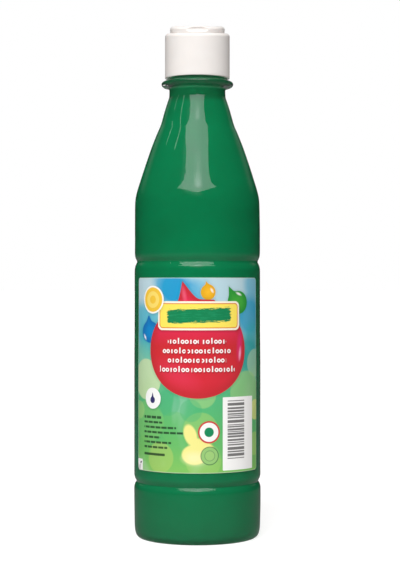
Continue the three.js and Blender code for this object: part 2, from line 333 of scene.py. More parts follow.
# ------------------------------------------------------------------ label artwork
# Everything is drawn in millimetres on the flat label: u across from its middle, v up from the bottle's base.
class Art(Tree):
    def __init__(self, name):
        super().__init__(name)
        uv = self.node("ShaderNodeUVMap")
        uv.uv_map = "artwork_mm"
        self.uv = uv.outputs[0]
        self.p = self.vec("MULTIPLY", self.uv, (1, 1, 0.5))
        self.u = self.along(1, 0, 0)
        self.v = self.along(0, 1, 0)
        self.colour = None

    def along(self, a, b, minus):
        """Distance along direction (a, b), less minus."""
        d = self.vec("DOT_PRODUCT", self.p, (a, b, 0), out="Value")
        return self.math("SUBTRACT", d, minus) if minus else d

    def stretched(self, su, sv):
        """The label's coordinates scaled, for textures."""
        n = self.node("ShaderNodeMapping", vector_type="POINT")
        self.put(n.inputs["Vector"], self.uv)
        n.inputs["Scale"].default_value = (su, sv, 1)
        return n.outputs[0]

    def circle(self, u, v, r):
        n = self.node("ShaderNodeVectorMath", operation="DISTANCE")
        self.put(n.inputs[0], self.p)
        n.inputs[1].default_value = (u, v, 0)
        return self.math("SUBTRACT", n.outputs["Value"], r)

    def axes(self, u, v, turn, su=1.0, sv=1.0):
        """Coordinates across and up a shape centred at (u, v) and turned anticlockwise, divided by its half sizes."""
        c, s = math.cos(math.radians(turn)), math.sin(math.radians(turn))
        x = self.along(c / su, s / su, (u * c + v * s) / su)
        y = self.along(-s / sv, c / sv, (-u * s + v * c) / sv)
        return x, y

    def length(self, x, y):
        return self.math("SQRT", self.math("MULTIPLY_ADD", x, x, self.math("MULTIPLY", y, y)))

    def ellipse(self, u, v, ru, rv, turn=0.0):
        if turn:
            n = self.length(*self.axes(u, v, turn, ru, rv))
        else:
            q = self.vec("MULTIPLY", self.vec("SUBTRACT", self.p, (u, v, 0)), (1 / ru, 1 / rv, 1))
            n = self.vec("LENGTH", q, out="Value")
        return self.math("MULTIPLY", self.math("SUBTRACT", n, 1.0), min(ru, rv))

    def box(self, u0, v0, u1, v1, r=0.3, turn=0.0):
        r = min(r, (u1 - u0) / 2 - 1e-3, (v1 - v0) / 2 - 1e-3)
        if turn:
            x, y = self.axes((u0 + u1) / 2, (v0 + v1) / 2, turn)
            x = self.math("MAXIMUM", self.math("SUBTRACT", self.math("ABSOLUTE", x), (u1 - u0) / 2 - r), 0.0)
            y = self.math("MAXIMUM", self.math("SUBTRACT", self.math("ABSOLUTE", y), (v1 - v0) / 2 - r), 0.0)
            return self.math("SUBTRACT", self.length(x, y), r)
        q = self.vec("ABSOLUTE", self.vec("SUBTRACT", self.p, ((u0 + u1) / 2, (v0 + v1) / 2, 0)))
        q = self.vec("SUBTRACT", q, ((u1 - u0) / 2 - r, (v1 - v0) / 2 - r, 0))
        q = self.vec("MAXIMUM", q, (0, 0, 0))
        return self.math("SUBTRACT", self.vec("LENGTH", q, out="Value"), r)

    def taper(self, u0, v0, r0, u1, v1, r1):
        """A round-ended wedge from one circle to another."""
        h = math.hypot(u1 - u0, v1 - v0)
        turn = math.degrees(math.atan2(-(u1 - u0), v1 - v0))
        x, y = self.axes(u0, v0, turn)
        held = self.math("MINIMUM", self.math("MAXIMUM", y, 0.0), h)
        d = self.length(x, self.math("SUBTRACT", y, held))
        return self.math("SUBTRACT", d, self.ramp(held, 0.0, h, r0, r1))

    def melt(self, a, b, k):
        return self.math("SMOOTH_MIN", a, b, k)

    def mask(self, d, soft=0.07, alpha=1.0, shift=0.0):
        return self.ramp(d, soft - shift, -soft - shift, 0.0, alpha)

    def lay(self, mask, colour, blend="MIX"):
        c = lin(colour) if isinstance(colour, tuple) and len(colour) == 3 else colour
        self.colour = self.mix(mask, self.colour, c, blend)

    def shape(self, d, colour, soft=0.07, alpha=1.0):
        self.lay(self.mask(d, soft, alpha), colour)

    def gradient(self, x, stops):
        n = self.node("ShaderNodeValToRGB")
        self.put(n.inputs[0], self.ramp(x, stops[0][0], stops[-1][0]))
        e = n.color_ramp.elements
        while len(e) < len(stops):
            e.new(0.5)
        for k, (at, c) in enumerate(stops):
            e[k].position = (at - stops[0][0]) / (stops[-1][0] - stops[0][0])
            e[k].color = lin(c)
        return n.outputs[0]


def label_print():
    t = Art("label_print")
    cloud = t.noise(t.stretched(0.03, 0.02), 1.6, 2.0, 0.5, 0.8)
    # sky at the top running down to leaf green at the bottom
    t.colour = t.gradient(t.v, [(33.0, (132, 198, 96)), (52.0, (92, 186, 108)), (70.0, (84, 186, 128)), (86.0, (104, 192, 160)), (100.0, (92, 186, 200)), (112.0, (126, 196, 216)), (124.5, (176, 212, 224))])
    t.lay(t.ramp(cloud, 0.5, 0.72, 0, 0.35, True), (214, 230, 232))
    blur = 2.2
    for u, v, r, c, a in (
        (-11.5, 119.0, 7.5, (8, 152, 206), 0.95), (-3.5, 116.5, 6.5, (16, 158, 208), 0.75), (-17.0, 121.5, 5.0, (30, 160, 208), 0.7),
        (-30.0, 118.0, 8.0, (196, 220, 230), 0.8), (3.0, 118.0, 4.5, (120, 190, 220), 0.6),
        (15.5, 119.5, 10.5, (188, 216, 226), 0.85), (31.5, 121.0, 6.5, (112, 188, 218), 0.8),
        (29.0, 106.0, 9.0, (20, 160, 204), 0.8), (32.5, 96.0, 7.5, (60, 178, 190), 0.7),
        (-31.5, 103.0, 9.0, (78, 184, 208), 0.75), (-27.5, 95.0, 7.0, (60, 176, 196), 0.6),
        (27.5, 88.0, 8.0, (14, 158, 160), 0.7), (-31.0, 84.0, 9.0, (120, 200, 176), 0.6),
    ):
        t.shape(t.circle(u, v, r), c, blur, a)
    # out-of-focus discs of light
    for u, v, r, c, a in (
        (-27.5, 76.5, 9.5, (206, 228, 176), 1.0), (33.0, 84.0, 6.5, (190, 220, 178), 0.6), (26.0, 70.5, 10.0, (160, 208, 128), 0.7),
        (4.5, 73.5, 6.6, (150, 206, 130), 0.0), (2.5, 70.0, 6.4, (158, 208, 130), 0.75), (-26.0, 57.0, 9.8, (126, 200, 110), 0.7),
        (-10.5, 54.5, 7.5, (110, 192, 104), 0.5), (1.5, 53.5, 8.2, (150, 204, 112), 0.8), (-18.5, 40.5, 7.2, (170, 206, 106), 0.75),
        (-30.0, 44.0, 6.0, (118, 196, 98), 0.6), (3.0, 39.5, 8.4, (164, 208, 112), 0.6), (14.0, 46.0, 6.5, (104, 190, 112), 0.5),
        (33.5, 62.0, 4.8, (240, 236, 140), 0.8), (33.0, 46.0, 5.5, (176, 212, 116), 0.7), (-33.0, 62.0, 4.2, (168, 212, 130), 0.6),
        (-3.0, 62.5, 5.2, (74, 180, 118), 0.6), (-14.0, 66.0, 6.0, (70, 178, 124), 0.5), (16.5, 63.5, 5.5, (80, 184, 120), 0.5),
    ):
        if a:
            t.shape(t.circle(u, v, r), c, 0.28, a * 0.8)
    # soft yellow patch
    t.shape(t.melt(t.ellipse(-3.2, 51.5, 2.9, 4.8, 18), t.melt(t.ellipse(1.8, 46.6, 6.2, 2.6, -22), t.ellipse(-1.2, 42.2, 6.0, 4.6), 1.2), 1.2), (246, 238, 146), 0.35, 0.95)
    t.shape(t.ellipse(-1.2, 40.6, 4.6, 2.6), (250, 246, 190), 1.6, 0.7)

    def drop(body, tip, k, colour, rim, shine, soft=0.08):
        """A drop of paint: a round body melted into a pointed tip, lit from the upper left, with a soft shadow under it."""
        d = t.melt(body, tip, k)
        t.shape(d, tuple(int(v * 0.55) for v in colour), 1.3, 0.28)
        t.shape(d, rim, soft)
        t.lay(t.mask(d, 1.6, 1.0, 1.9), colour)
        for u, v, ru, rv, turn, a in shine:
            t.shape(t.ellipse(u, v, ru, rv, turn), (255, 255, 255), 0.28, a)
        return d

    # small drops behind
    drop(t.ellipse(5.1, 117.2, 3.5, 3.6), t.taper(5.1, 118.5, 1.8, 4.2, 122.0, 0.15), 1.2, (248, 190, 40), (228, 168, 24), [(6.9, 118.0, 0.45, 1.0, 30, 0.75)])
    drop(t.ellipse(20.6, 112.4, 5.9, 5.4), t.taper(18.0, 114.5, 2.8, 15.4, 119.7, 0.15), 1.5, (66, 172, 60), (38, 148, 52), [(21.0, 116.4, 1.5, 0.5, -22, 0.85)])
    drop(t.ellipse(-24.6, 98.6, 6.0, 5.0), t.taper(-25.5, 100.5, 3.6, -25.6, 105.6, 0.6), 1.5, (8, 136, 206), (10, 112, 184), [(-28.4, 96.2, 0.5, 1.3, 35, 0.9)])
    # the large drop
    body = t.ellipse(0.2, 90.4, 24.6, 22.3)
    tip = t.taper(-4.2, 111.0, 5.4, -6.9, 122.1, 0.1)
    flank = t.taper(0.0, 108.0, 6.0, 7.5, 113.0, 0.4)
    big = t.melt(body, t.melt(tip, flank, 2.5), 6.0)
    t.shape(big, (40, 90, 80), 1.5, 0.35)
    t.shape(big, (198, 42, 52), 0.08)
    inside = t.gradient(t.v, [(68.0, (196, 40, 48)), (76.0, (214, 42, 58)), (92.0, (208, 42, 50)), (101.0, (226, 42, 82)), (112.0, (226, 44, 84)), (121.0, (212, 38, 66))])
    t.lay(t.mask(big, 1.8, 1.0, 2.0), inside)
    t.shape(t.ellipse(-9.0, 79.0, 9.0, 4.2, -28), (228, 60, 92), 2.4, 0.45)
    t.shape(t.ellipse(21.4, 92.5, 1.3, 5.4, -6), (226, 40, 118), 0.9, 0.75)
    t.shape(t.ellipse(21.6, 88.6, 0.6, 2.4, -6), (255, 170, 205), 0.4, 0.9)
    t.shape(t.ellipse(-6.1, 116.0, 0.8, 3.2, 10), (246, 110, 140), 0.6, 0.55)

    # blank name panel with a brushed swatch of the paint's own colour
    plate = t.box(-19.6, 99.6, 21.2, 113.0, 2.4)
    t.shape(t.box(-19.3, 99.0, 21.7, 112.4, 2.4), (90, 20, 30), 0.7, 0.45)
    t.shape(plate, (250, 246, 226), 0.07)
    t.shape(t.box(-18.7, 100.5, 20.3, 112.1, 1.7), (226, 120, 40), 0.07)
    t.shape(t.box(-18.3, 100.9, 19.9, 111.7, 1.4), (255, 232, 96), 0.07)
    edge = t.noise(t.stretched(0.16, 1.5), 1.3, 4.0, 0.65)
    stroke = t.math("ADD", t.box(-14.5, 103.2, 16.4, 109.6, 1.6, 2.0), t.ramp(edge, 0.3, 0.75, -0.9, 1.2))
    t.shape(stroke, (10, 132, 82), 0.18)
    t.lay(t.math("MULTIPLY", t.mask(stroke, 0.3, 1.0, 0.5), t.ramp(edge, 0.5, 0.62, 0, 0.5)), (40, 164, 112))
    # plain sun-yellow disc at the upper left
    t.shape(t.circle(-22.6, 113.3, 6.6), (70, 100, 90), 0.9, 0.35)
    t.shape(t.circle(-22.9, 113.7, 6.5), (250, 250, 244), 0.07)
    t.shape(t.circle(-22.9, 113.7, 5.7), (246, 200, 60), 0.07)
    t.shape(t.circle(-22.9, 113.7, 3.9), (252, 222, 110), 0.07)
    t.shape(t.circle(-22.9, 113.7, 1.9), (246, 200, 60), 0.07)

    # rows of plain blocks where wording would be
    rows = [
        (94.3, [(-14.1, 0.7), (2.0, 13.8)], 0.0),
        (89.9, [(-16.8, -5.5), (-4.4, 6.1), (7.2, 16.7)], 0.35),
        (85.6, [(-14.1, 1.0), (2.2, 13.8)], 0.7),
        (81.3, [(-18.3, -3.6), (-2.7, 18.4)], 0.15),
    ]
    cell = 1.95
    for v, words, phase in rows:
        # plain rings and stems repeat across the row
        across = t.math("SUBTRACT", t.math("MULTIPLY", t.u, 1 / cell), phase)
        place = t.math("MULTIPLY", t.math("SUBTRACT", t.math("FRACT", across), 0.5), cell)
        pick = t.math("FRACT", t.math("MULTIPLY", t.math("FLOOR", across), 0.618))
        stem = t.math("GREATER_THAN", pick, 0.6)
        tall = t.math("MULTIPLY", t.math("GREATER_THAN", pick, 0.78), 0.42)
        for colour, alpha, soft, du, dv, grow in (((92, 14, 22), 0.62, 0.3, 0.3, -0.4, 0.12), ((253, 250, 248), 1.0, 0.09, 0.0, 0.0, 0.0)):
            x = t.math("SUBTRACT", place, du)
            y = t.math("SUBTRACT", t.v, v + dv)
            ring = t.math("SUBTRACT", t.math("ABSOLUTE", t.math("SUBTRACT", t.length(x, y), 0.66)), 0.27 + grow)
            bar = t.math("MAXIMUM", t.math("SUBTRACT", t.math("ABSOLUTE", x), 0.3 + grow), t.math("SUBTRACT", t.math("SUBTRACT", t.math("ABSOLUTE", t.math("SUBTRACT", y, tall)), 0.93 + grow), tall))
            block = t.math("MULTIPLY_ADD", stem, t.math("SUBTRACT", bar, ring), ring)
            inside_word = None
            for u0, u1 in words:
                w = t.box(u0 + du, v - 3.0, u1 + du, v + 3.5, 0.1)
                inside_word = w if inside_word is None else t.math("MINIMUM", inside_word, w)
            t.shape(t.math("MAXIMUM", block, inside_word), colour, soft, alpha)
    # small dark bars, lower left, each broken up along its length
    run = t.math("FRACT", t.math("MULTIPLY_ADD", t.math("FLOOR", t.math("MULTIPLY", t.math("SUBTRACT", t.v, 57.84), 1 / 2.32)), 0.37, t.math("MULTIPLY", t.u, 1 / 3.4)))
    breaks = t.math("MULTIPLY", t.math("SUBTRACT", t.math("ABSOLUTE", t.math("SUBTRACT", run, 0.5)), 0.43), 3.4)
    for k, w in enumerate((11.2, 11.8, 19.0, 22.7, 10.5, 16.5, 14.5)):
        v = 59.0 - 2.32 * k
        h = 0.62 if k == 0 else 0.5
        t.shape(t.math("MAXIMUM", t.box(-28.9, v - h, -28.9 + w, v + h, 0.3), breaks), (30, 58, 38), 0.08, 0.88)
    t.shape(t.box(-28.9, 41.2, -15.7, 42.35, 0.35), (30, 58, 38), 0.08, 0.9)
    # white disc with a small green drop
    t.shape(t.circle(-22.6, 67.3, 5.0), (50, 110, 80), 0.7, 0.5)
    t.shape(t.circle(-22.9, 67.8, 4.9), (250, 251, 250), 0.07)
    t.shape(t.melt(t.circle(-22.9, 67.0, 1.5), t.taper(-22.9, 67.8, 0.8, -22.9, 70.4, 0.08), 0.6), (54, 50, 110), 0.06)
    # pale disc with a coral rim and a dot, and a plain grey-green ring below it
    t.shape(t.circle(5.5, 52.6, 5.2), (206, 70, 66), 0.07)
    t.shape(t.circle(5.5, 52.6, 4.4), (246, 248, 244), 0.07)
    t.shape(t.circle(5.5, 52.6, 2.2), (22, 140, 90), 0.07)
    t.shape(t.circle(5.8, 41.7, 4.3), (60, 110, 74), 0.07, 0.85)
    t.shape(t.circle(5.8, 41.7, 3.9), (150, 200, 120), 0.07)
    t.shape(t.circle(5.8, 41.7, 2.5), (84, 132, 86), 0.07, 0.7)
    t.shape(t.circle(5.8, 41.7, 2.2), (158, 204, 122), 0.07)
    # white panel with a made-up stripe pattern
    t.shape(t.box(12.1, 34.7, 30.6, 68.6, 0.35), (251, 251, 250), 0.07)
    v, k = 67.0, 7
    while v > 39.6:
        k = (k * 37 + 11) % 101
        thick = (0.42, 0.9, 1.3, 0.66)[k % 4]
        gap = (0.34, 0.5, 0.72)[k % 3]
        v0 = max(39.2, v - thick)
        t.shape(t.box(14.6, v0, 24.4, v, 0.03), (24, 22, 24), 0.05)
        v = v0 - gap
    # folded corner patch, lower left
    t.shape(t.box(-35.6, 32.0, -30.4, 38.9, 0.5), (250, 250, 250), 0.07)
    t.shape(t.taper(-33.3, 35.0, 1.15, -31.9, 36.7, 0.1), (170, 166, 174), 0.1, 0.6)
    t.shape(t.ellipse(-32.0, 37.3, 0.85, 0.45, 25), (60, 52, 84), 0.08)

    # a pale band along the label's cut edge, and faint scuffs
    rim = t.box(-34.85, 33.75, 34.85, 123.75, 1.65)
    t.lay(t.ramp(rim, -0.32, -0.05, 0, 0.55), (206, 226, 206))
    at = t.here()
    scuff = t.ramp(t.noise(at, 700, 4.0, 0.7, 0.4), 0.66, 0.8, 0, 0.12)
    t.lay(scuff, (236, 240, 236))
    rough = t.ramp(t.noise(at, 160, 3.0, 0.6), 0.3, 0.8, 0.3, 0.42)
    n = t.bump(t.noise(at, 2600, 2.0, 0.5), 0.05, 0.00004)
    p = t.principled(Base_Color=t.colour, Roughness=rough, IOR=1.46, Normal=n)
    return t.finish(p.outputs[0])


# ------------------------------------------------------------------ bottle
HEEL = [(0, 4.4), (5, 4.3), (11, 3.75), (17, 2.65), (21.8, 1.25), (24.8, 0.3), (26.2, 0.02), (27.2, 0.0), (28.1, 0.22), (28.9, 0.8), (29.5, 1.75), (29.85, 2.95), (30.08, 4.6), (30.2, 8.0), (30.32, 14.0), (30.38, 20.0), (30.38, 23.3)]
LOWER = [(30.33, 24.1), (30.14, 24.95), (29.78, 25.9), (29.36, 26.5), (29.22, 26.8), (29.34, 27.14), (29.66, 27.8), (30.04, 28.7), (30.27, 29.5), (30.32, 30.4)]
BODY = [(30.32, 34), (30.32, 55), (30.32, 76), (30.3, 86), (30.22, 97), (30.16, 110), (30.13, 124), (30.12, 126.8)]
UPPER = [(30.06, 128.1), (29.86, 129.25), (29.52, 130.2), (29.12, 131.0), (28.98, 131.55), (29.1, 132.15), (29.48, 132.95), (29.82, 133.95), (29.99, 135.0), (30.06, 136.6)]
SHOULDER = [(30.04, 143), (30.0, 151), (29.97, 156.5), (29.88, 159.2), (29.74, 161.1), (29.54, 162.5), (29.3, 163.7), (28.98, 165.0), (28.54, 166.6), (27.99, 168.4), (27.36, 170.4), (26.57, 172.9), (25.95, 174.8), (24.7, 178.6), (23.42, 182.4), (22.05, 186.3), (20.6, 190.0), (19.05, 193.8), (18.12, 195.9), (17.4, 197.9), (16.85, 199.8), (15.8, 203.5), (14.65, 207.2), (14.0, 209.1), (13.66, 210.1), (13.53, 211.0), (13.52, 212.5)]
RING = [(13.54, 213.9), (13.8, 214.5), (14.7, 214.72), (15.7, 214.95), (16.55, 215.35), (17.08, 215.9), (17.29, 216.5), (17.2, 217.05), (16.82, 217.55), (16.1, 217.95), (15.0, 218.18), (14.25, 218.3), (13.92, 218.55), (13.88, 219.05), (13.55, 219.55), (12.95, 219.95), (12.62, 220.4), (12.6, 221.2)]
PITCH, THREAD_Z, THREAD_TURNS, THREAD_H = 3.18, 224.2, 1.75, 1.12

finish_rows = line((12.6, 221.6), (12.6, 233.9), 0.28)
lip = arc(12.0, 234.9, 0.55, 5, 90, 4) + arc(11.4, 234.85, 0.6, 90, 180, 4)
outer = joined(
    through(HEEL + LOWER + BODY + UPPER + SHOULDER + RING, 1.6, lambda r, z: 0.35 if (23 < z < 31 or 127 < z < 137 or z > 209) else (0.7 if (z < 6 or 155 < z < 209) else 1.6)),
    finish_rows,
    lip,
)
outer = [(r - 0.1 if 13 < r and z < 221 else r, z) for r, z in outer]


def wall_at(z):
    return np.interp(z, [4, 8, 30, 60, 160, 186, 196, 203, 207, 209.5, 212, 214.5], [1.0, 0.6, 0.48, 0.45, 0.45, 0.52, 0.6, 0.8, 1.05, 1.5, 2.2, 2.72])


inner_side = [(r - float(wall_at(z)), z) for r, z in outer if 4.4 < z < 213.5 and r > 13]
FLOOR = [(28.75, 3.4), (28.2, 2.3), (27.2, 1.6), (25.6, 1.35), (22.4, 2.15), (17, 3.65), (11, 4.75), (5, 5.3), (0, 5.4)]
inner = joined(line((10.8, 234.85), (10.8, 215.0), 1.2), inner_side[::-1], through([inner_side[0]] + FLOOR, 0.8)[1:])


def thread_bump(th, z, z0, turns, flank=0.62):
    """Height from 0 to 1 of a right-handed thread rib at these angles and heights. Angles run from +X, anticlockwise."""
    a = np.mod(th - math.pi / 2, 2 * math.pi) / (2 * math.pi)
    out = np.zeros_like(z)
    for k in range(int(math.ceil(turns)) + 1):
        run = a + k
        off = np.abs(z - (z0 + PITCH * run))
        rib = 1 - smoothstep(off, 0.32, 0.32 + flank)
        fade = smoothstep(run, 0.0, 0.09) * (1 - smoothstep(run, turns - 0.09, turns))
        out = np.maximum(out, rib * fade)
    return out


N_OUT = len(outer)


def bottle_shape(th, r, z, i):
    if i >= N_OUT:  # inner wall
        return r, z
    zz = z[0]
    if 221.4 < zz < 234.0:
        r = r + THREAD_H * thread_bump(th, z, THREAD_Z, THREAD_TURNS)
    # slow unevenness of the blown wall, least at the grooves and the neck
    free = float(smoothstep(np.array(zz), 4, 14) * (1 - smoothstep(np.array(zz), 200, 211)))
    calm = 1.0 - 0.75 * math.exp(-(((zz - 26.8) / 4.5) ** 2)) - 0.75 * math.exp(-(((zz - 132.0) / 5.0) ** 2))
    label = 1.0 - 0.8 * float(smoothstep(np.array(zz), 30, 36) * (1 - smoothstep(np.array(zz), 121, 127)))
    w = (
        0.030 * np.sin(3 * th + zz * 0.11 + 0.7)
        + 0.020 * np.sin(5 * th - zz * 0.19 + 2.1)
        + 0.014 * np.sin(2 * th + zz * 0.43 + 4.0)
        + 0.010 * np.sin(8 * th + zz * 0.31)
    )
    r = r + free * calm * label * w
    # parting line of the mould, down both sides
    for side in (90.0, 270.0):
        off = np.abs((np.degrees(th) - side + 180) % 360 - 180)
        r = r + (0.045 if zz < 212 and zz > 2.5 else 0.0) * (1 - smoothstep(off, 0.25, 0.6))
    # short ticks round the inside of the standing ring
    if zz < 1.3 and 22.5 < r[0] < 26.4:
        z = z + 0.13 * (0.5 + 0.5 * np.cos(60 * th)) * math.sin(math.pi * (float(r[0]) - 22.5) / 3.9)
    return r, z


bottle_angles = even(144, [s + d for s in (90, 270) for d in (-1.0, -0.6, -0.25, 0, 0.25, 0.6, 1.0)])
bottle = lathe("bottle_shell", outer + inner, bottle_angles, bottle_shape, sharp=None)
bottle.data.materials.append(clear_pet())
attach(bottle, "bottle_body")
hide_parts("bottle")

# gate nub under the base
nub = lathe("bottle_gate_mark", joined([(0, 3.55), (1.7, 3.55)], arc(1.7, 3.75, 0.2, -90, 0, 3), [(2.0, 4.36), (0, 4.42)]), even(32))
nub.data.materials.append(bottle.data.materials[0])
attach(nub, "bottle_body")

# ------------------------------------------------------------------ paint
CONTACT = 0.06  # the paint wets the wall: its surface lies this far inside the plastic
paint_side = [(r - float(wall_at(z)) + CONTACT, z) for r, z in outer if 4.4 < z < 213.5 and r > 13]
paint_floor = [(0, 5.34), (5, 5.24), (11, 4.69), (17, 3.59), (22.4, 2.09), (25.6, 1.28), (27.25, 1.53), (28.26, 2.25), (28.81, 3.4)]
paint_profile = joined(
    through(paint_floor + [paint_side[0]], 0.9)[:-1],
    paint_side,
    line((10.8 + CONTACT, 215.0), (10.8 + CONTACT, 226.2), 1.2),
    [(10.5, 225.75), (9.9, 225.4), (8.5, 225.15), (5, 225.02), (0, 225.0)],
)
paint = lathe("paint_fill_liquid", paint_profile, even(144), sharp=None)
paint.data.materials.append(green_paint())
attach(paint, "bottle_body")
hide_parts("paint_fill")


# ------------------------------------------------------------------ label
def label_film():
    half, lo, hi, corner, thick, off = 35.0, 33.6, 123.9, 1.8, 0.09, 0.05
    us = np.unique(np.round(np.concatenate([np.linspace(-half + corner, half - corner, 97), [s * (half - d) for s in (-1, 1) for d in (0, 0.02, 0.08, 0.18, 0.32, 0.5, 0.75, 1.05, 1.4)]]), 4))
    rows = np.linspace(0, 1, 61)
    oz = np.array([p[1] for p in outer[:N_OUT] if p[1] < 212])
    orr = np.array([p[0] for p in outer[:N_OUT] if p[1] < 212])
    order = np.argsort(oz)
    oz, orr = oz[order], orr[order]

    verts, uvs = [], []
    for layer in (0, 1):
        for t in rows:
            for u in us:
                edge = half - abs(u)
                cut = corner - math.sqrt(max(0.0, corner**2 - (corner - edge) ** 2)) if edge < corner else 0.0
                v = (lo + cut) + (hi - lo - 2 * cut) * t
                r0 = float(np.interp(v, oz, orr))
                rim = min(edge, v - lo, hi - v)
                lift = 0.02 * math.exp(-max(0.0, rim) / 0.6)  # the cut edge stands very slightly proud
                r = r0 + off + (thick if layer else 0.0) + lift
                a = u / 30.32
                verts.append((r * math.sin(a), -r * math.cos(a), v))
                uvs.append((u, v))
    nu, nv = len(us), len(rows)
    idx = lambda l, j, i: l * nu * nv + j * nu + i
    faces = []
    for j in range(nv - 1):
        for i in range(nu - 1):
            faces.append((idx(1, j, i), idx(1, j, i + 1), idx(1, j + 1, i + 1), idx(1, j + 1, i)))
            faces.append((idx(0, j, i), idx(0, j + 1, i), idx(0, j + 1, i + 1), idx(0, j, i + 1)))
    for j in range(nv - 1):
        faces.append((idx(0, j, 0), idx(1, j, 0), idx(1, j + 1, 0), idx(0, j + 1, 0)))
        faces.append((idx(1, j, nu - 1), idx(0, j, nu - 1), idx(0, j + 1, nu - 1), idx(1, j + 1, nu - 1)))
    for i in range(nu - 1):
        faces.append((idx(0, 0, i), idx(0, 0, i + 1), idx(1, 0, i + 1), idx(1, 0, i)))
        faces.append((idx(1, nv - 1, i), idx(1, nv - 1, i + 1), idx(0, nv - 1, i + 1), idx(0, nv - 1, i)))
    o = new_object("front_label_film", verts, faces, sharp=60)
    layer = o.data.uv_layers.new(name="artwork_mm")
    vi = np.empty(len(o.data.loops), np.int32)
    o.data.loops.foreach_get("vertex_index", vi)
    layer.data.foreach_set("uv", np.array(uvs, np.float32)[vi].ravel())
    return o


label = label_film()
label.data.materials.append(label_print())
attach(label, "bottle_body")
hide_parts("front_label")

# ------------------------------------------------------------------ cap
def troughed(th, r, z):
    """Radii pushed back where a trough for the thumb runs across the lid's front wall."""
    x, forward = r * np.sin(th), np.cos(th)
    q = 1 - ((z - 241.2) / 1.45) ** 2
    wall = (13.4 - 1.45 * np.sqrt(np.maximum(q, 0))) / np.maximum(forward, 0.2)
    inside = (q > 0) & (forward > 0.5) & (wall < r)
    w = 1 - smoothstep(np.abs(x), 5.2, 5.55)
    return np.where(inside, r - w * (r - wall), r)


def dipped(th, r, gentle):
    """How far the front half of the shoulder has dropped at these places."""
    t = r * np.cos(th) - 1.0
    return 0.1325 * 0.5 * (t + np.sqrt(t * t + gentle))


cap_white = white_plastic("cap_white")

skirt_out = joined(
    arc(15.2, 219.7, 0.3, -90, 0, 4),
    line((15.5, 219.7), (15.5, 239.3), 1.2),
    arc(14.0, 239.5, 1.5, 0, 90, 14),
    line((14.0, 241.0), (13.75, 241.0), 0.1),
    arc(13.72, 240.85, 0.15, 90, 180, 3),
)
deck = joined(
    line((13.56, 240.7), (13.47, 238.5), 0.35),
    arc(13.27, 238.5, 0.2, 0, -90, 3),
    line((13.27, 238.3), (5.4, 238.3), 0.9),
    arc(5.2, 238.7, 0.4, -90, -175, 4)[1:],
    line((4.78, 238.85), (4.3, 240.3), 0.4),
    arc(3.55, 240.4, 0.75, 0, 90, 6),
    line((3.5, 241.15), (2.3, 241.15), 0.4),
    arc(2.28, 240.88, 0.27, 90, 180, 4),
    line((2.0, 240.7), (2.0, 236.9), 0.8),
    line((2.2, 236.9), (13.9, 236.9), 1.2),
    arc(13.85, 236.6, 0.3, 90, 0, 3),
    line((14.15, 236.4), (14.15, 219.95), 0.3),
    [(14.35, 219.45)],
)
N_SKIRT = len(skirt_out)


def cap_shape(th, r, z, i):
    r0, z0 = r[0], z[0]
    if z0 > 237.0 and r0 > 13.3:
        full = (z0 - 238.4) / 2.3 if r0 < 13.7 else (z0 - 237.0) / 2.5
        z = z - dipped(th, r, 2.0) * min(1.0, max(0.0, full))
    if i >= N_SKIRT and 13.9 < r0 < 14.3 and 220.0 < z0 < 236.0:
        r = r - 1.1 * thread_bump(th, z, THREAD_Z - PITCH / 2, 1.5)
    # step at the back that the hinge web folds into
    y, x = -r * np.cos(th), r * np.sin(th)
    back = (y > 11.7) & (np.abs(x) < 5.2) & (z > 239.9) & (r0 > 13.3)
    z = np.where(back, 239.9, z)
    # the faintest draught and set of a moulded skirt
    if i < N_SKIRT and z0 < 239.0:
        r = r + 0.012 * np.sin(2 * th + 1.0) + 0.006 * np.sin(z * 0.6)
    return r, z


x_edges = [180 + s * math.degrees(math.asin(5.2 / q)) * k for s in (-1, 1) for q in (13.5, 15.45) for k in (0.996, 1.004)]
cap_angles = even(192, x_edges)
cap = lathe("cap_base_shell", skirt_out + deck, cap_angles, cap_shape, close=True, sharp=38)
cap.data.materials.append(cap_white)
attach(cap, "cap_body")
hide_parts("cap_base")

# ------------------------------------------------------------------ lid
lid_profile = joined(
    [(0, 238.72)],
    [(0.9, 238.72)],
    arc(0.95, 239.3, 0.58, -85, 0, 5),
    line((1.6, 239.5), (1.66, 241.2), 0.5),
    arc(2.0, 241.35, 0.33, 180, 90, 3),
    line((2.3, 241.7), (10.9, 240.3), 1.2),
    [(11.2, 240.2), (11.35, 240.0)],
    line((11.35, 239.6), (11.35, 238.75), 0.5),
    arc(11.5, 238.75, 0.15, 180, 270, 3),
    line((11.6, 238.6), (12.52, 238.6), 0.4),
    arc(12.52, 238.8, 0.2, -90, 0, 3),
    line((12.74, 238.95), (13.15, 242.7), 0.14),
    arc(11.65, 242.7, 1.5, 0, 90, 20),
    line((11.5, 244.2), (9.2, 244.2), 0.8),
    [(8.9, 244.18), (8.6, 244.16)],
    line((8.4, 244.16), (0, 244.16), 1.2),
)


def lid_shape(th, r, z, i):
    r0, z0 = r[0], z[0]
    if z0 > 242.2 or (z0 > 239.6 and r0 > 11.5):
        # the top and the ceiling slope down at the front
        forward = r * np.cos(th) - 3.3
        drop = 0.175 * 0.5 * (forward + np.sqrt(forward * forward + 1.2)) - 0.175 * 0.5 * (math.sqrt(3.3**2 + 1.2) - 3.3)
        z = z - np.maximum(drop, 0) * min(1.0, max(0.0, (z0 - 239.6) / 3.4))
    if z0 > 239.3 and r0 > 11.6:
        r = troughed(th, r, z)
    return r, z


lid_angles = even(192, [s * (22.0 + 0.35 * k) for s in (-1, 1) for k in range(12)])
lid = lathe("flip_lid_shell", lid_profile, lid_angles, lid_shape, sharp=38)


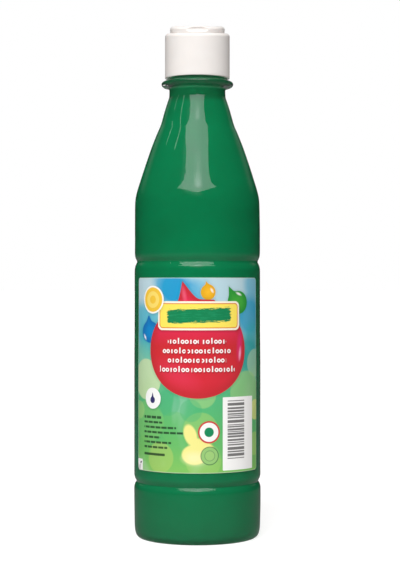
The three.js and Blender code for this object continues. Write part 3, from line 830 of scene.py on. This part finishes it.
def rounded_block(name, x0, x1, y0, y1, z0, z1, radius):
    """A block with rounded edges, as its own mesh."""
    bm = bmesh.new()
    bmesh.ops.create_cube(bm, size=1)
    for v in bm.verts:
        v.co = Vector(((x0 + x1) / 2 + v.co.x * (x1 - x0), (y0 + y1) / 2 + v.co.y * (y1 - y0), (z0 + z1) / 2 + v.co.z * (z1 - z0)))
    bmesh.ops.bevel(bm, geom=list(bm.edges), offset=radius, segments=3, affect="EDGES", profile=0.5)
    for v in bm.verts:
        v.co *= MM
    mesh = bpy.data.meshes.new(name)
    bm.to_mesh(mesh)
    bm.free()
    mesh.polygons.foreach_set("use_smooth", [True] * len(mesh.polygons))
    mesh.set_sharp_from_angle(angle=math.radians(40))
    o = bpy.data.objects.new(name, mesh)
    scene.collection.objects.link(o)
    return o


def union(target, tool):
    """Joins tool into target's mesh and removes tool."""
    m = target.modifiers.new("join", "BOOLEAN")
    m.operation, m.object, m.solver = "UNION", tool, "EXACT"
    dg = bpy.context.evaluated_depsgraph_get()
    made = bpy.data.meshes.new_from_object(target.evaluated_get(dg))
    target.modifiers.clear()
    old = target.data
    target.data = made
    made.name = old.name
    bpy.data.meshes.remove(old)
    bpy.data.objects.remove(tool)
    made.polygons.foreach_set("use_smooth", [True] * len(made.polygons))
    made.set_sharp_from_angle(angle=math.radians(38))


union(lid, rounded_block("tab", -4.7, 4.7, 12.2, 14.8, 240.78, 242.05, 0.22))
lid.data.materials.clear()
lid.data.materials.append(cap_white)
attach(lid, "lid_body")
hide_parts("flip_lid")


# ------------------------------------------------------------------ living hinge
def hinge_strap():
    half, thick = 4.4, 0.36
    path = [(14.45, 239.98), (14.8, 239.98)] + arc(15.12, 240.76, 0.76, -90, 90, 18) + [(14.8, 241.52), (14.45, 241.5)]
    p = np.array(path)
    d = np.gradient(p, axis=0)
    d /= np.linalg.norm(d, axis=1)[:, None]
    nrm = np.stack([d[:, 1], -d[:, 0]], 1)
    xs = np.linspace(-half, half, 15)
    verts, faces = [], []
    n, m = len(path), len(xs)
    for side in (1, -1):
        for k in range(n):
            mid = abs(k / (n - 1) - 0.5) * 2
            t = thick * (0.32 + 0.18 * mid)  # thinnest at the fold
            for x in xs:
                q = p[k] + nrm[k] * t * side
                verts.append((float(x), float(q[0]), float(q[1])))
    at = lambda s, k, i: s * n * m + k * m + i
    for k in range(n - 1):
        for i in range(m - 1):
            faces.append((at(0, k, i), at(0, k, i + 1), at(0, k + 1, i + 1), at(0, k + 1, i)))
            faces.append((at(1, k, i), at(1, k + 1, i), at(1, k + 1, i + 1), at(1, k, i + 1)))
        faces.append((at(0, k, 0), at(0, k + 1, 0), at(1, k + 1, 0), at(1, k, 0)))
        faces.append((at(0, k, m - 1), at(1, k, m - 1), at(1, k + 1, m - 1), at(0, k + 1, m - 1)))
    for i in range(m - 1):
        faces.append((at(0, 0, i), at(1, 0, i), at(1, 0, i + 1), at(0, 0, i + 1)))
        faces.append((at(0, n - 1, i), at(0, n - 1, i + 1), at(1, n - 1, i + 1), at(1, n - 1, i)))
    return new_object("hinge_web_strap", verts, faces, sharp=50)


strap = hinge_strap()
strap.data.materials.append(white_plastic("hinge_white", (238, 236, 232), 0.3))
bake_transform(strap)
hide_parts("hinge_web")

# ------------------------------------------------------------------ liner
liner = lathe(
    "cap_liner_wad",
    joined(arc(7.15, 235.85, 0.15, 180, 270, 3), line((7.2, 235.7), (13.4, 235.7), 1.0), arc(13.45, 235.85, 0.15, -90, 0, 3), arc(13.45, 236.45, 0.15, 0, 90, 3), line((13.4, 236.6), (7.2, 236.6), 1.0), arc(7.15, 236.45, 0.15, 90, 180, 3)),
    even(96),
    lambda th, r, z, i: (r, z - (0.08 * np.exp(-(((r - 11.8) / 0.5) ** 2)) if z[0] < 235.8 else 0.0) + (0.05 if z[0] < 235.8 else 0.0)),
    close=True,
)
liner.data.materials.append(liner_foam())
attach(liner, "cap_carrier")
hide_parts("cap_liner")

# ------------------------------------------------------------------ floor, world and lights
floor_mesh = bpy.data.meshes.new("floor")
bm = bmesh.new()
bmesh.ops.create_circle(bm, cap_ends=True, radius=30, segments=96)
bm.to_mesh(floor_mesh)
bm.free()
floor = bpy.data.objects.new("floor", floor_mesh)
scene.collection.objects.link(floor)
ft = Tree("floor_paper")
fp = ft.principled(Base_Color=(0.45, 0.45, 0.45, 1), Roughness=0.9, Specular_IOR_Level=0.0, Emission_Color=(1, 1, 1, 1), Emission_Strength=0.66)
floor.data.materials.append(ft.finish(fp.outputs[0]))
floor.visible_glossy = False
floor.visible_diffuse = False

world = bpy.data.worlds.new("studio")
scene.world = world
world.use_nodes = True
wt = world.node_tree
wt.nodes.clear()
w_out = wt.nodes.new("ShaderNodeOutputWorld")
w_bg = wt.nodes.new("ShaderNodeBackground")
w_path = wt.nodes.new("ShaderNodeLightPath")
w_co = wt.nodes.new("ShaderNodeTexCoord")
w_sep = wt.nodes.new("ShaderNodeSeparateXYZ")
w_ramp = wt.nodes.new("ShaderNodeValToRGB")
w_up = wt.nodes.new("ShaderNodeMapRange")
w_up.inputs["From Min"].default_value, w_up.inputs["From Max"].default_value = -1, 1
stops = [(0.0, 0.30), (0.40, 0.22), (0.485, 0.05), (0.52, 0.015), (0.75, 0.02), (0.93, 0.03), (1.0, 0.05)]
e = w_ramp.color_ramp.elements
while len(e) < len(stops):
    e.new(0.5)
for k, (at, v) in enumerate(stops):
    e[k].position, e[k].color = at, (v, v, v, 1)
w_seen = wt.nodes.new("ShaderNodeMath")
w_seen.operation = "MAXIMUM"
w_mix = wt.nodes.new("ShaderNodeMix")
w_mix.data_type = "RGBA"
w_mix2 = wt.nodes.new("ShaderNodeMix")
w_mix2.data_type = "RGBA"
L = wt.links.new
L(w_co.outputs["Generated"], w_sep.inputs[0])
L(w_sep.outputs[2], w_up.inputs["Value"])
L(w_up.outputs[0], w_ramp.inputs[0])
# diffuse light sees a plain even tent, gloss sees the darker studio, and the eye sees the white backdrop
# a pale backdrop behind the bottle, seen only at grazing angles in the shoulder's edges
w_back = wt.nodes.new("ShaderNodeMapRange")
w_back.interpolation_type = "SMOOTHSTEP"
w_back.inputs["From Min"].default_value, w_back.inputs["From Max"].default_value = 0.45, 0.8
w_band = wt.nodes.new("ShaderNodeMapRange")
w_band.interpolation_type = "SMOOTHSTEP"
w_band.inputs["From Min"].default_value, w_band.inputs["From Max"].default_value = 0.2, 0.34
w_both = wt.nodes.new("ShaderNodeMath")
w_both.operation = "MULTIPLY"
w_glow = wt.nodes.new("ShaderNodeMix")
w_glow.data_type = "RGBA"
w_glow.inputs[7].default_value = (0.24, 0.24, 0.24, 1)
L(w_sep.outputs[1], w_back.inputs["Value"])
L(w_sep.outputs[2], w_band.inputs["Value"])
L(w_back.outputs[0], w_both.inputs[0])
L(w_band.outputs[0], w_both.inputs[1])
L(w_both.outputs[0], w_glow.inputs[0])
L(w_ramp.outputs[0], w_glow.inputs[6])
L(w_path.outputs["Is Glossy Ray"], w_mix.inputs[0])
w_mix.inputs[6].default_value = (0.33, 0.318, 0.31, 1)
L(w_glow.outputs[2], w_mix.inputs[7])
L(w_path.outputs["Is Camera Ray"], w_seen.inputs[0])
L(w_path.outputs["Is Transmission Ray"], w_seen.inputs[1])
L(w_seen.outputs[0], w_mix2.inputs[0])
L(w_mix.outputs[2], w_mix2.inputs[6])
w_mix2.inputs[7].default_value = (1.0, 1.0, 1.0, 1)
L(w_mix2.outputs[2], w_bg.inputs[0])
L(w_bg.outputs[0], w_out.inputs[0])


def aim(o, target):
    o.rotation_euler = (Vector(target) - Vector(o.location)).to_track_quat("-Z", "Y").to_euler()


def sun(name, azimuth, elevation, strength, angle, tint=(1, 1, 1)):
    """Azimuth 0 shines from the front (-Y), positive from the right."""
    d = bpy.data.lights.new(name, "SUN")
    d.energy, d.angle, d.color = strength, math.radians(angle), tint
    o = bpy.data.objects.new(name, d)
    a, el = math.radians(azimuth), math.radians(elevation)
    o.location = (math.sin(a) * math.cos(el), -math.cos(a) * math.cos(el), math.sin(el))
    aim(o, (0, 0, 0))
    o.visible_glossy = False
    scene.collection.objects.link(o)
    return o


def softbox(name, azimuth, elevation, distance, width, height, radiance, target=(0, 0, 0.17), glossy=True):
    d = bpy.data.lights.new(name, "AREA")
    d.shape, d.size, d.size_y = "RECTANGLE", width, height
    d.energy = radiance * width * height * math.pi  # a Lambertian panel of that radiance
    o = bpy.data.objects.new(name, d)
    a, el = math.radians(azimuth), math.radians(elevation)
    t = Vector(target)
    o.location = t + distance * Vector((math.sin(a) * math.cos(el), -math.cos(a) * math.cos(el), math.sin(el)))
    aim(o, target)
    o.visible_glossy = glossy
    o.visible_camera = False
    scene.collection.objects.link(o)
    return o


def ceiling_panel(name, outline, height, radiance, tint=(1, 1, 1)):
    """A level glowing panel overhead with a hot spot near its front, seen only in gloss."""
    mesh = bpy.data.meshes.new(name)
    mesh.from_pydata([(x, y, 0) for x, y in outline], [], [list(range(len(outline)))])
    o = bpy.data.objects.new(name, mesh)
    o.location = (-0.02, 0, height)
    t = Tree(name)
    off = t.vec("LENGTH", t.vec("SUBTRACT", t.here(), (0.05, -1.66, 0)), out="Value")
    glow = t.node("ShaderNodeEmission")
    glow.inputs["Color"].default_value = (*tint, 1)
    t.put(glow.inputs["Strength"], t.ramp(off, 0.03, 0.4, radiance * 2.1, radiance, True))
    mesh.materials.append(t.finish(glow.outputs[0]))
    o.visible_camera = False
    o.visible_diffuse = False
    o.visible_transmission = False
    o.visible_shadow = False
    o.visible_volume_scatter = False
    scene.collection.objects.link(o)
    return o



sun("key_sun", -14, 42, 2.4, 36)
sun("front_sun", -1, 26, 0.55, 18)
sun("fill_sun", 52, 28, 0.35, 60, (1, 0.95, 0.92))
sun("left_sun", -62, 25, 0.3, 60, (1, 0.93, 0.86))
sun("back_sun", 180, 40, 0.6, 70)
ceiling_panel("front_panel", [(-0.68, -0.25), (0.68, -0.25), (0.68, -1.36), (1.32, -1.5), (-0.03, -2.6), (-1.32, -1.5), (-0.68, -1.36)], 1.37, 2.4, (1, 0.9, 0.98))
softbox("left_strip", -60, 37.5, 0.22, 0.0092, 0.064, 2.0, (0, 0, 0.206))
softbox("left_strip_2", -92, 33.5, 0.22, 0.0078, 0.058, 1.6, (0, 0, 0.206))
